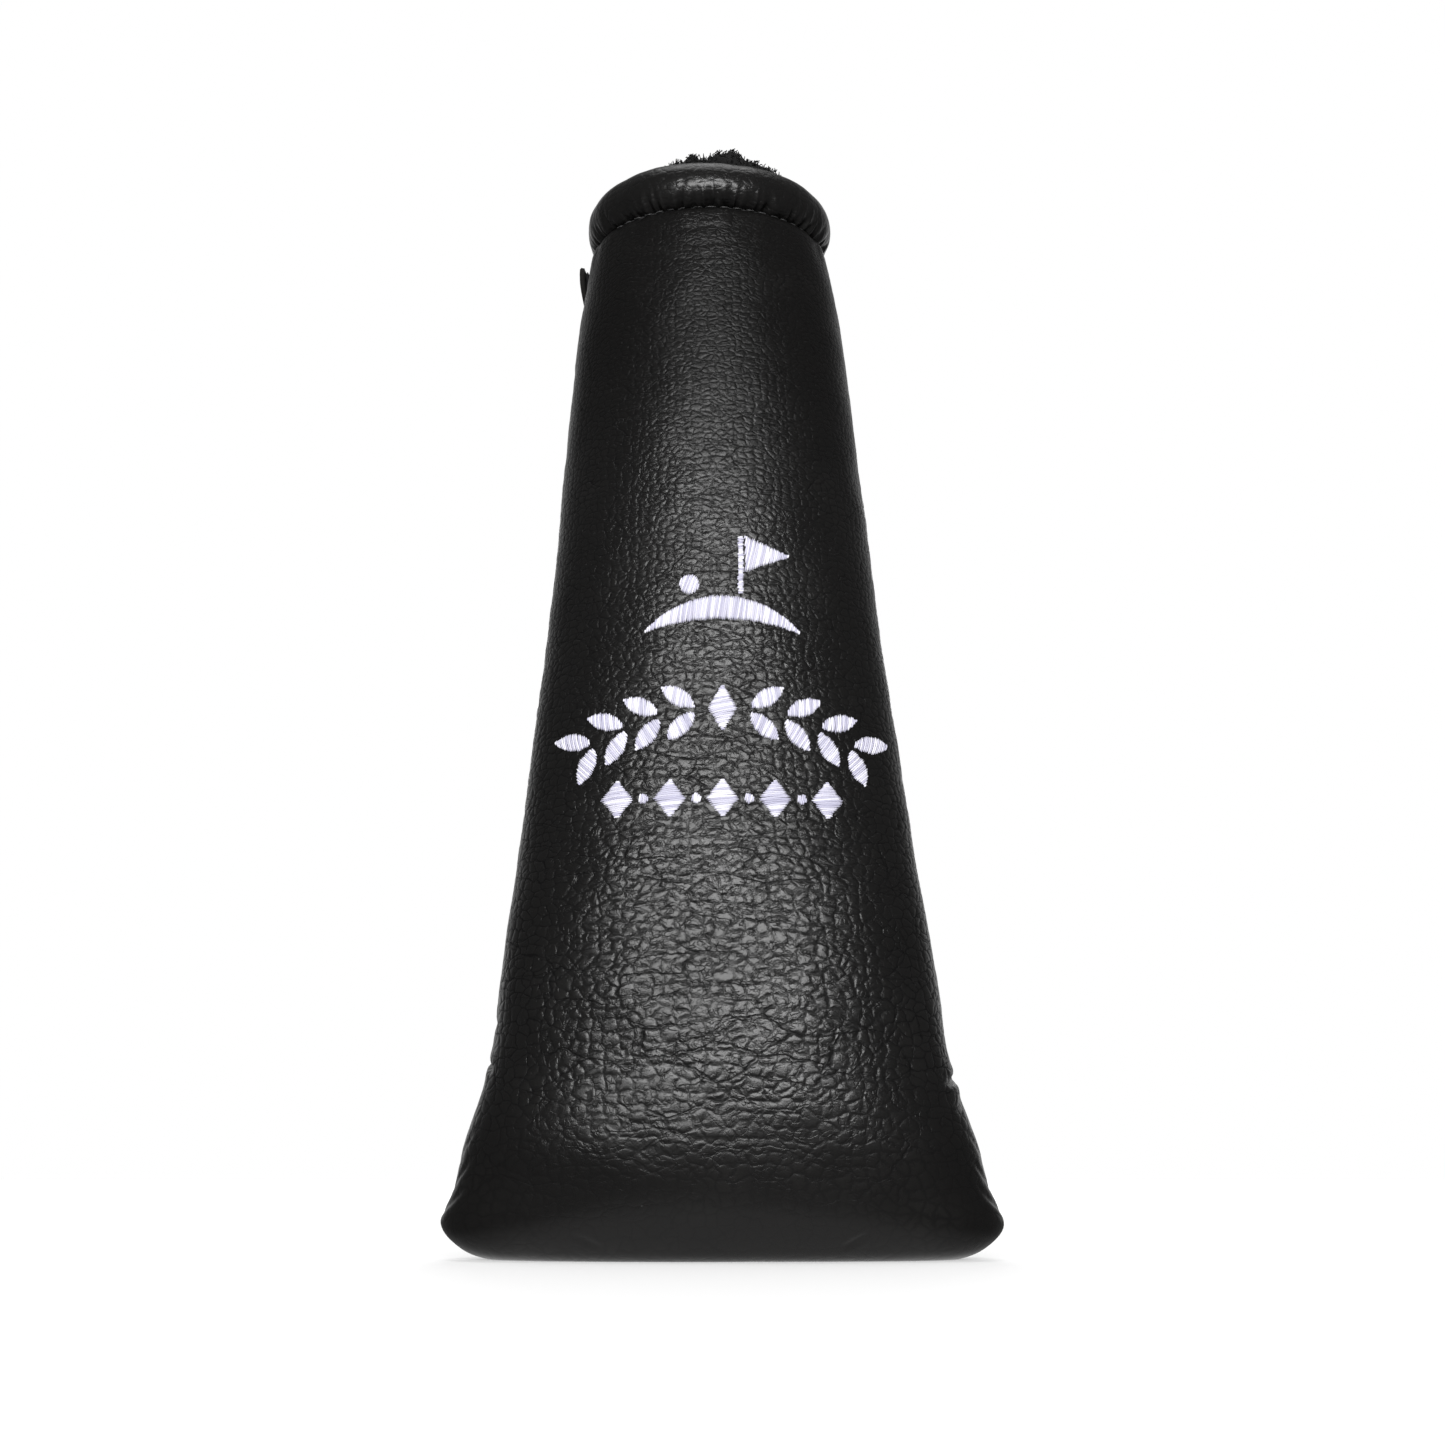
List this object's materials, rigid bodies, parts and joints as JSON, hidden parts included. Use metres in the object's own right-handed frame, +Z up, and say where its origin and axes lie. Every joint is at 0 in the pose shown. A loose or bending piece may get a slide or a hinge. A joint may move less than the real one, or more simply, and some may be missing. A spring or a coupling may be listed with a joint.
{
  "type": "putter head cover",
  "caption": "Padded leather putter head cover: round neck with a rolled collar, widening to a broad soft foot with corner ears, with a back slit closed by a wrap-round flap.",
  "frame": {"origin": "middle of the sole, on the surface that the cover stands on", "axes": "+Z up from the sole towards the mouth, -Y the embroidered front, -X the side that the closure flap wraps to"},
  "size_m": [0.13, 0.064, 0.2616],
  "materials": {
    "black_leather": "pebble grain, soft satin sheen",
    "foam_padding": "matt foam sheet",
    "black_fleece": "short curly pile, matt",
    "flap_lining_cloth": "plain woven, matt",
    "hook_tape": "stiff hooks, matt",
    "loop_tape": "soft loops, matt",
    "stabiliser": "thin felt, matt",
    "white_thread": "satin stitched thread, soft gloss",
    "black_thread": "twisted thread, matt"
  },
  "bodies": {
    "root": {"arch_embroidery": "white_thread", "back_lining_left": "black_fleece", "back_lining_right": "black_fleece", "back_padding_left": "foam_padding", "back_padding_right": "foam_padding", "back_panel_left": "black_leather", "back_panel_right": "black_leather", "bottom_seam_thread": "black_thread", "centre_back_seam_thread": "black_thread", "collar_core": "foam_padding", "collar_cover": "black_leather", "collar_seam_thread": "black_thread", "emblem_embroidery": "white_thread", "embroidery_backing": "stabiliser", "flap_base": "black_leather", "flap_base_stitching": "black_thread", "front_lining": "black_fleece", "front_padding": "foam_padding", "front_panel": "black_leather", "left_side_seam_thread": "black_thread", "loop_tape": "loop_tape", "loop_tape_stitching": "black_thread", "right_side_seam_thread": "black_thread", "row_embroidery": "white_thread", "slit_bartack": "black_thread", "slit_edge_stitching": "black_thread"},
    "flap": {"closure_flap": "black_leather", "flap_lining": "flap_lining_cloth", "hook_tape": "hook_tape", "flap_edge_stitching": "black_thread", "hook_tape_stitching": "black_thread"}
  },
  "joints": [
    {"name": "flap_hinge", "type": "hinge", "parent": "root", "child": "flap", "pos_m": [0.00382, 0.0318, 0.227], "axis": [0, 0, -1], "range_deg": [0, 120]}
  ]
}
